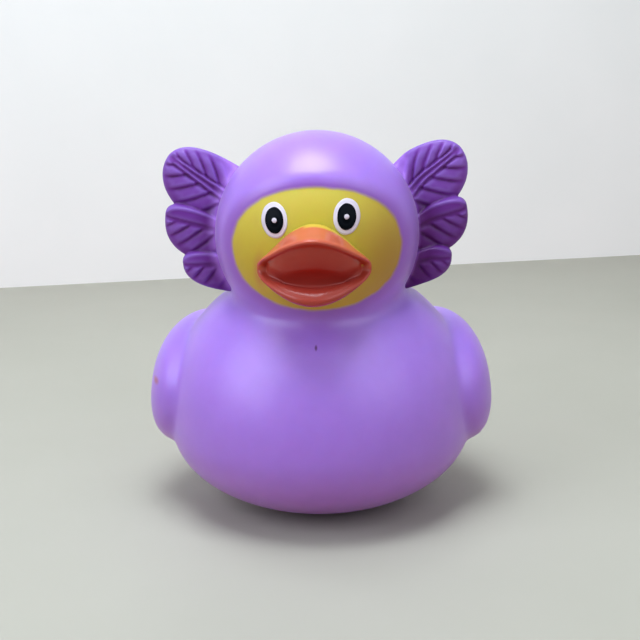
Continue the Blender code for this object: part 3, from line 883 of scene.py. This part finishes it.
def bill_finish():
    """Spray enamel on vinyl: a wet gloss, orange outside, and a deep red painted shade in the
    mouth.
    """
    material, shader = new_material("bill_spray_enamel")
    tree = material.node_tree
    place = add_node(tree, "ShaderNodeTexCoord").outputs["Object"]
    mottle = add_node(
        tree, "ShaderNodeTexNoise", {"Vector": place, "Scale": 1 / ENAMEL_CLOUDS, "Detail": 3.0}
    ).outputs["Fac"]
    orange = mixed(tree, mottle, *(linear(coat) for coat in BILL_ORANGE))
    mouth = add_node(tree, "ShaderNodeAttribute", attribute_name="mouth").outputs["Fac"]
    # Painted shade: the mouth is a deep red, darkest deepest in.
    colour = mixed(tree, mouth, orange, linear(MOUTH_SHADE_RED))
    lower = add_node(tree, "ShaderNodeAttribute", attribute_name="lower").outputs["Fac"]
    colour = mixed(tree, lower, colour, linear(LOWER_LIP_RED))
    bare = add_node(tree, "ShaderNodeAttribute", attribute_name="bare").outputs["Fac"]
    colour = mixed(tree, bare, colour, linear(BARE_YELLOW))
    tree.links.new(colour, shader.inputs["Base Color"])
    ripple = add_node(
        tree, "ShaderNodeTexNoise", {"Vector": place, "Scale": 1 / ENAMEL_RIPPLE, "Detail": 2.0}
    ).outputs["Fac"]
    bump = add_node(
        tree, "ShaderNodeBump", {"Height": ripple, "Strength": 0.05, "Distance": 0.0002}
    )
    tree.links.new(bump.outputs[0], shader.inputs["Normal"])
    shader.inputs["Roughness"].default_value = 0.24
    shader.inputs["IOR"].default_value = 1.45
    shader.inputs["Specular IOR Level"].default_value = 0.40
    shader.inputs["Subsurface Weight"].default_value = 0.15
    shader.inputs["Subsurface Radius"].default_value = (1.0, 0.3, 0.2)
    shader.inputs["Subsurface Scale"].default_value = 0.001
    return material


beak = bill()
beak_points = read_points(beak.data) - np.array(HEAD_CENTRE)
off_face = np.linalg.norm(beak_points, axis=1) - (HEAD_RADIUS - WINDOW_DEPTH)
above_corner = beak_points[:, 2] + BILL_CORNER_DROP
bare_width = BARE_WIDTH * smooth_share((beak_points[:, 0] + BARE_FADE_ACROSS) / BARE_FADE_ACROSS)
bare = smooth_share((bare_width - off_face) / BARE_EDGE + 0.5)
bare = bare * smooth_share(above_corner / BARE_FADE_DOWN)
lower = smooth_share((LOWER_LIP_FADE / 2 - above_corner) / LOWER_LIP_FADE)
write_values(beak.data, "bare", bare)
write_values(beak.data, "lower", LOWER_LIP_SHARE * lower)
beak.data.shade_smooth()
beak.data.materials.append(bill_finish())
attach(beak, "root")
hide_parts("duck")


# Frills.
# Each side of the hood carries a frill of three leaves, cast with it and sprayed dark purple
# by hand, so the paint fades out on the hood. Each leaf has a rounded edge, and it swells like
# shingles between its side veins, on both faces. The lower leaves lie a step in front.

FRILL_REACH = 0.0112
FRILL_HALF_THICKNESS = 0.0017
FRILL_STEP = 0.0009
FRILL_VOXEL = 0.00022
VEIN_STEP = 0.00062
VEIN_START, VEIN_START_FADE = 0.0008, 0.0010
THINNEST_HALF = 0.00002
ROOT_FLARE, ROOT_FLARE_FADE = 0.0012, 0.0008
# The top leaf's rib is a pair of fine ridges with a shallow trough outside each.
RIB_RIDGE_HEIGHT, RIB_RIDGE_WIDTH = 0.00040, 0.00032
RIB_TROUGH_OUT, RIB_TROUGH_WIDTH = 0.0007, 0.00045

# The duck's left frill came out of the mould turned up a little, and narrower.
UPRIGHT_TURN = math.radians(1.7)
UPRIGHT_NARROWER = 0.0006

LACQUER_PURPLE = ("#672e92", "#783ea6")
# A painted highlight on the crests.
CREST_HIGHLIGHT_LILAC = "#8460ba"
# A darker coat near the hood, and painted shade low down and on the duck's left.
DARK_COAT_AND_SHADE_PURPLE = "#4f0f66"
# A painted shade in the grooves.
GROOVE_SHADE_PURPLE = "#451352"
THIN_LILAC = "#9b6ccd"
LACQUER_CLOUDS = 0.004
# Size of the patches in the grooves' painted shade.
GROOVE_SHADE_PATCHES = 0.0022
# How far below its surroundings a place lies where its painted shade is full, and how far
# above them where its painted highlight is full.
GROOVE_SHADE_FALL, CREST_HIGHLIGHT_RISE = 0.00012, 0.00008
GROOVE_SHADE_SHARE, CREST_HIGHLIGHT_SHARE = 0.9, 0.8
# The sprayer held the gun closer on the duck's left, for a sharper edge. The lower leaves are
# painted darker, a painted shade, most on the duck's left.
ROOT_FADE = {1: 0.0014, -1: 0.0034}
LOW_SHADE = {1: 0.60, -1: 0.22}

LEAVES = (
    # Outlines from the root inside the hood to the leaf's tip, as shares of the frill's reach
    # across and above the head's centre, with the veins' places along the rib.
    {
        "rib": ((0.36, 0.09), (0.66, 0.29), (0.964, 0.515)),
        "upper": ((0.36, 0.330), (0.629, 0.535), (0.853, 0.629), (0.964, 0.515)),
        "lower": ((0.36, -0.06), (0.93, 0.0), (1.11, 0.33), (0.964, 0.515)),
        "upper_veins": (0.42, 0.56, 0.70, 0.84),
        "lower_veins": (0.34, 0.47, 0.60, 0.73, 0.86),
        "rib_half_width": 0.0013,
        "edge_ridge": 0.0,
        "layer": 1,
    },
    {
        "rib": ((0.36, -0.06), (0.70, 0.06), (1.0, 0.126)),
        "upper": ((0.36, -0.045), (0.62, 0.10), (0.99, 0.31), (1.0, 0.126)),
        "lower": ((0.36, -0.21), (0.92, -0.25), (1.03, -0.06), (1.0, 0.126)),
        "upper_veins": (),
        "lower_veins": (0.40, 0.54, 0.68, 0.82),
        "rib_half_width": 0.0,
        "edge_ridge": 0.0004,
        "layer": 0,
    },
    {
        "rib": ((0.36, -0.22), (0.70, -0.17), (0.892, -0.195)),
        "upper": ((0.36, -0.195), (0.60, -0.12), (0.92, -0.05), (0.892, -0.195)),
        "lower": ((0.36, -0.405), (0.72, -0.39), (0.892, -0.33), (0.892, -0.195)),
        "upper_veins": (),
        "lower_veins": (0.45, 0.62, 0.79),
        "rib_half_width": 0.0,
        "edge_ridge": 0.0003,
        "layer": -1,
    },
)


def curve(points, shares):
    """Points at these shares of a Bezier curve of any order, as rows."""
    rows = [np.tile(np.array(point, dtype=float), (len(shares), 1)) for point in points]
    while len(rows) > 1:
        rows = [a + (b - a) * shares[:, None] for a, b in zip(rows, rows[1:])]
    return rows[0]


def leaf(side, shape):
    """One leaf as a closed pillow on a grid from its rib out to both edges."""
    reach = HEAD_RADIUS + FRILL_REACH
    along = np.linspace(0, 1, 150)
    outward = np.sin(np.linspace(-1, 1, 97) * math.pi / 2)
    rib = curve(shape["rib"], along) * reach
    upper = curve(shape["upper"], along) * reach
    lower = curve(shape["lower"], along) * reach
    edge = np.where(outward[None, :, None] > 0, upper[:, None, :], lower[:, None, :])
    out = np.abs(outward)[None, :, None]
    flat = rib[:, None, :] + (edge - rib[:, None, :]) * out
    from_rib = np.linalg.norm(flat - rib[:, None, :], axis=2)
    out = out[..., 0] + np.zeros_like(from_rib)
    share = along[:, None] + np.zeros_like(from_rib)
    above = outward[None, :] > 0

    rounding = np.sqrt(np.clip(1 - out**5, 0, 1)) * np.sqrt(np.clip(1 - share**14, 0, 1))
    half = FRILL_HALF_THICKNESS * (0.72 + 0.18 * np.cos(out * math.pi / 2))
    for veins, here in ((shape["upper_veins"], above), (shape["lower_veins"], ~above)):
        if not veins:
            half = half + 0.35 * VEIN_STEP * here * smooth_share((0.98 - out) / 0.3)
            continue
        # Between two veins the leaf swells like a shingle, fullest beside the lower vein.
        knots = [2 * veins[0] - veins[1], *veins, 2 * veins[-1] - veins[-2]]
        phase = np.interp(share - 0.05 * out**2, knots, np.arange(len(knots)))
        phase = phase - np.floor(phase)
        swell = smooth_share(phase / 0.30) * (1 - phase**2) ** 0.6
        fade = smooth_share((0.99 - out) / 0.3)
        fade = fade * smooth_share((from_rib - VEIN_START) / VEIN_START_FADE)
        half = half + VEIN_STEP * (swell - 0.35) * fade * here
    if shape["rib_half_width"]:
        width = shape["rib_half_width"] * (1 - 0.5 * share)
        ridge = np.exp(-(((from_rib - width) / RIB_RIDGE_WIDTH) ** 2))
        trough = np.exp(-(((from_rib - width - RIB_TROUGH_OUT) / RIB_TROUGH_WIDTH) ** 2))
        taper = smooth_share((0.93 - share) / 0.10)
        half = half + (RIB_RIDGE_HEIGHT * ridge - RIB_RIDGE_HEIGHT * trough) * taper
    if shape["edge_ridge"]:
        ridge = np.exp(-(((out - 0.80) / 0.16) ** 2)) * above
        half = half + shape["edge_ridge"] * ridge
    from_hood = np.linalg.norm(flat, axis=2) - HEAD_RADIUS
    flare = ROOT_FLARE * np.exp(-np.clip(from_hood, 0, None) / ROOT_FLARE_FADE)
    half = (half + flare) * rounding + THINNEST_HALF

    depth = HEAD_CENTRE.y + FRILL_BEHIND_HEAD_CENTRE + shape["layer"] * FRILL_STEP
    rows, columns = len(along), len(outward)
    mesh = bmesh.new()

    def sheet_of(face):
        """The vertices of the leaf's front or back."""
        across, heights = side * flat[..., 0], HEAD_CENTRE.z + flat[..., 1]
        depths = depth + face * half
        points = np.stack([across, depths, heights], axis=2)
        return [[mesh.verts.new(point) for point in row] for row in points]

    sheets = [sheet_of(face) for face in (-1, 1)]
    for sheet in sheets:
        for i in range(rows - 1):
            for j in range(columns - 1):
                mesh.faces.new(
                    (sheet[i][j], sheet[i + 1][j], sheet[i + 1][j + 1], sheet[i][j + 1])
                )
    front, back = sheets
    for i in range(rows - 1):
        for j in (0, columns - 1):
            mesh.faces.new((front[i][j], front[i + 1][j], back[i + 1][j], back[i][j]))
    for j in range(columns - 1):
        for i in (0, rows - 1):
            mesh.faces.new((front[i][j], front[i][j + 1], back[i][j + 1], back[i][j]))
    bmesh.ops.remove_doubles(mesh, verts=mesh.verts, dist=0.000001)
    bmesh.ops.recalc_face_normals(mesh, faces=mesh.faces)
    return object_from("leaf", mesh)


def hollowness(mesh, points, spread_steps):
    """How far each point lies below its neighbours, in metres, averaged over its surroundings."""
    edges = np.empty(len(mesh.edges) * 2, dtype=np.int32)
    mesh.edges.foreach_get("vertices", edges)
    first, second = edges.reshape(-1, 2).T
    normals = np.empty(len(points) * 3, dtype=np.float32)
    mesh.vertex_normals.foreach_get("vector", normals)
    normals = normals.reshape(-1, 3)
    count = np.bincount(first, minlength=len(points)) + np.bincount(second, minlength=len(points))

    def around(values):
        """The mean of each point's neighbours."""
        total = np.bincount(first, values[second], len(points))
        return (total + np.bincount(second, values[first], len(points))) / np.maximum(count, 1)

    wide = points.copy()
    for step in range(spread_steps):
        wide = np.stack([around(wide[:, axis]) for axis in range(3)], axis=1)
    return ((wide - points) * normals).sum(axis=1)


def frill_finish():
    """Sprayed purple lacquer: satin, with painted shade in its grooves, painted highlight on its
    crests, and thin where it meets the hood.
    """
    material, shader = new_material("frill_spray_lacquer")
    tree = material.node_tree
    place = add_node(tree, "ShaderNodeTexCoord").outputs["Object"]
    mottle = add_node(
        tree, "ShaderNodeTexNoise", {"Vector": place, "Scale": 1 / LACQUER_CLOUDS, "Detail": 4.0}
    ).outputs["Fac"]
    purple = mixed(tree, mottle, *(linear(coat) for coat in LACQUER_PURPLE))
    # Painted highlight: the crests are lighter.
    crest_highlight = add_node(tree, "ShaderNodeAttribute", attribute_name="crest_highlight").outputs["Fac"]
    purple = mixed(tree, crest_highlight, purple, linear(CREST_HIGHLIGHT_LILAC))
    # Darker coat near the hood, and painted shade low down, most on the duck's left.
    coat_and_shade = add_node(tree, "ShaderNodeAttribute", attribute_name="coat_and_shade").outputs["Fac"]
    purple = mixed(tree, coat_and_shade, purple, linear(DARK_COAT_AND_SHADE_PURPLE))
    # Painted shade: the grooves are darker, in patches.
    groove_shade = add_node(tree, "ShaderNodeAttribute", attribute_name="groove_shade").outputs["Fac"]
    patchy = add_node(
        tree, "ShaderNodeTexNoise", {"Vector": place, "Scale": 1 / GROOVE_SHADE_PATCHES, "Detail": 2.0}
    ).outputs["Fac"]
    groove_shade_evenness = add_node(tree, "ShaderNodeMapRange", {0: patchy, 1: 0.3, 2: 0.7, 3: 0.25, 4: 1.0})
    groove_shade_patches = add_node(
        tree, "ShaderNodeMath", {0: groove_shade, 1: groove_shade_evenness.outputs[0]}, operation="MULTIPLY"
    ).outputs[0]
    purple = mixed(tree, groove_shade_patches, purple, linear(GROOVE_SHADE_PURPLE))
    cover = add_node(tree, "ShaderNodeAttribute", attribute_name="purple_share").outputs["Fac"]
    colour = mixed(tree, cover, linear(THIN_LILAC), purple)
    tree.links.new(colour, shader.inputs["Base Color"])
    shader.inputs["Roughness"].default_value = 0.40
    shader.inputs["IOR"].default_value = 1.42
    shader.inputs["Specular IOR Level"].default_value = 0.35
    return material


def set_upright(points):
    """Turns the duck's left frill up and draws it in, from its root outwards."""
    turn = UPRIGHT_TURN
    local = points - np.array(HEAD_CENTRE)
    share = smooth_share((np.hypot(local[:, 0], local[:, 2]) - HEAD_RADIUS + 0.003) / 0.008)
    across = local[:, 0] * math.cos(turn) - local[:, 2] * math.sin(turn)
    up = local[:, 0] * math.sin(turn) + local[:, 2] * math.cos(turn)
    across = across - UPRIGHT_NARROWER * share
    turned = np.stack([across, local[:, 1], up], axis=1)
    return points + (turned - local) * share[:, None]


frill_paint = frill_finish()
for name, side in (("frill_left", 1), ("frill_right", -1)):
    frill = fuse([leaf(side, shape) for shape in LEAVES], name, FRILL_VOXEL, 2)
    points = read_points(frill.data)
    if side > 0:
        points = set_upright(points)
        write_points(frill.data, points)
    sunk = hollowness(frill.data, points, 12)
    local = points - np.array(HEAD_CENTRE)
    past_hood = np.hypot(local[:, 0], local[:, 2]) - HEAD_RADIUS
    height = np.degrees(np.arctan2(local[:, 2], np.abs(local[:, 0])))
    # The coat starts further out at the top of the root and is darker at the hood, and the
    # leaves are painted darker low down, a painted shade.
    bare_root = 0.0030 * smooth_share((height - 28) / 12)
    below = smooth_share((20 - height) / 14)
    near_hood = smooth_share((0.0065 - past_hood) / 0.006) * smooth_share((26 - height) / 16)
    purple_share = smooth_share((past_hood + 0.0008 - bare_root) / ROOT_FADE[side])
    coat_and_shade = np.clip(0.55 * near_hood + LOW_SHADE[side] * below, 0, 1)
    write_values(frill.data, "purple_share", purple_share)
    write_values(frill.data, "coat_and_shade", coat_and_shade)
    write_values(frill.data, "groove_shade", GROOVE_SHADE_SHARE * smooth_share(sunk / GROOVE_SHADE_FALL))
    write_values(frill.data, "crest_highlight", CREST_HIGHLIGHT_SHARE * smooth_share(-sunk / CREST_HIGHLIGHT_RISE))
    frill.data.shade_smooth()
    frill.data.materials.clear()
    frill.data.materials.append(frill_paint)
    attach(frill, "root")
    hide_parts("duck")


# Floor, wall and light.
# The duck stands on a pale painted floor in front of a paler wall, under wide soft light from
# above and from both sides, the stronger from the left. The floor throws a warm light up.

WALL_ENDS = ((-1.5, -0.068), (1.5, 0.672))
STAGE_CLOUDS = 0.06
FLOOR_GREY, FLOOR_BOUNCE = ("#a7a797", "#b1b0a1"), "#b58078"
WALL_GREY, WALL_BOUNCE = ("#d5ded8", "#dde5df"), "#dadedb"
WALL_GLOW = 0.20
DAYLIGHT, OVERHEAD_DAYLIGHT = "#e6eeff", "#ecf2ff"
ROOM_GREY = "#f0f2f4"
ROOM_LIGHT, ROOM_SHOWN = 0.38, 0.85


def background_rays(tree):
    """1 for the rays that show the background: camera, glossy and transmission rays."""
    ray = add_node(tree, "ShaderNodeLightPath")
    shown = ray.outputs["Is Camera Ray"]
    for kind in ("Is Glossy Ray", "Is Transmission Ray"):
        shown = add_node(
            tree, "ShaderNodeMath", {0: shown, 1: ray.outputs[kind]}, operation="MAXIMUM"
        ).outputs[0]
    return shown


def stage_plane(name, corners, colours, bounce, roughness, glow):
    """A flat, faintly clouded painted surface, with the colour of its bounced light and a glow."""
    mesh = bmesh.new()
    mesh.faces.new([mesh.verts.new(corner) for corner in corners])
    plane = object_from(name, mesh)
    material, shader = new_material(f"painted_{name}")
    tree = material.node_tree
    place = add_node(tree, "ShaderNodeTexCoord").outputs["Object"]
    cloud = add_node(
        tree, "ShaderNodeTexNoise", {"Vector": place, "Scale": 1 / STAGE_CLOUDS, "Detail": 6.0}
    ).outputs["Fac"]
    tint = mixed(tree, cloud, *(linear(paint) for paint in colours))
    bounced = mixed(tree, background_rays(tree), linear(bounce), tint)
    tree.links.new(bounced, shader.inputs["Base Color"])
    tree.links.new(tint, shader.inputs["Emission Color"])
    lit = add_node(tree, "ShaderNodeMapRange", {0: background_rays(tree), 3: 0.0, 4: glow})
    tree.links.new(lit.outputs[0], shader.inputs["Emission Strength"])
    shader.inputs["Roughness"].default_value = roughness
    plane.data.materials.append(material)


stage_plane(
    "floor",
    [(-1.5, -1.5, 0), (1.5, -1.5, 0), (*WALL_ENDS[1], 0), (*WALL_ENDS[0], 0)],
    FLOOR_GREY,
    FLOOR_BOUNCE,
    roughness=0.6,
    glow=0.0,
)
stage_plane(
    "wall",
    [(*WALL_ENDS[0], 0), (*WALL_ENDS[1], 0), (*WALL_ENDS[1], 1), (*WALL_ENDS[0], 1)],
    WALL_GREY,
    WALL_BOUNCE,
    roughness=0.8,
    glow=WALL_GLOW,
)


def soft_light(name, place, aim, size, power, colour):
    """A wide square lamp turned to a point."""
    lamp = bpy.data.objects.new(name, bpy.data.lights.new(name, "AREA"))
    lamp.data.size = size
    lamp.data.energy = power
    lamp.data.color = linear(colour)[:3]
    lamp.location = place
    lamp.rotation_euler = (Vector(aim) - Vector(place)).to_track_quat("-Z", "Y").to_euler()
    bpy.context.scene.collection.objects.link(lamp)


soft_light("overhead", (-0.03, -0.05, 0.50), (0, 0, 0.03), 0.26, 2.4, OVERHEAD_DAYLIGHT)
soft_light("window_left", (-0.42, -0.28, 0.35), (0, 0, 0.04), 0.38, 1.7, DAYLIGHT)
soft_light("window_right", (0.35, -0.34, 0.38), (0, 0, 0.04), 0.42, 1.0, DAYLIGHT)

world = bpy.data.worlds.new("room")
world.use_nodes = True
room = world.node_tree
strength = add_node(
    room, "ShaderNodeMapRange", {0: background_rays(room), 3: ROOM_LIGHT, 4: ROOM_SHOWN}
)
background = room.nodes["Background"]
background.inputs["Color"].default_value = linear(ROOM_GREY)
room.links.new(strength.outputs[0], background.inputs["Strength"])
bpy.context.scene.world = world
bpy.context.scene.view_settings.view_transform = "Standard"
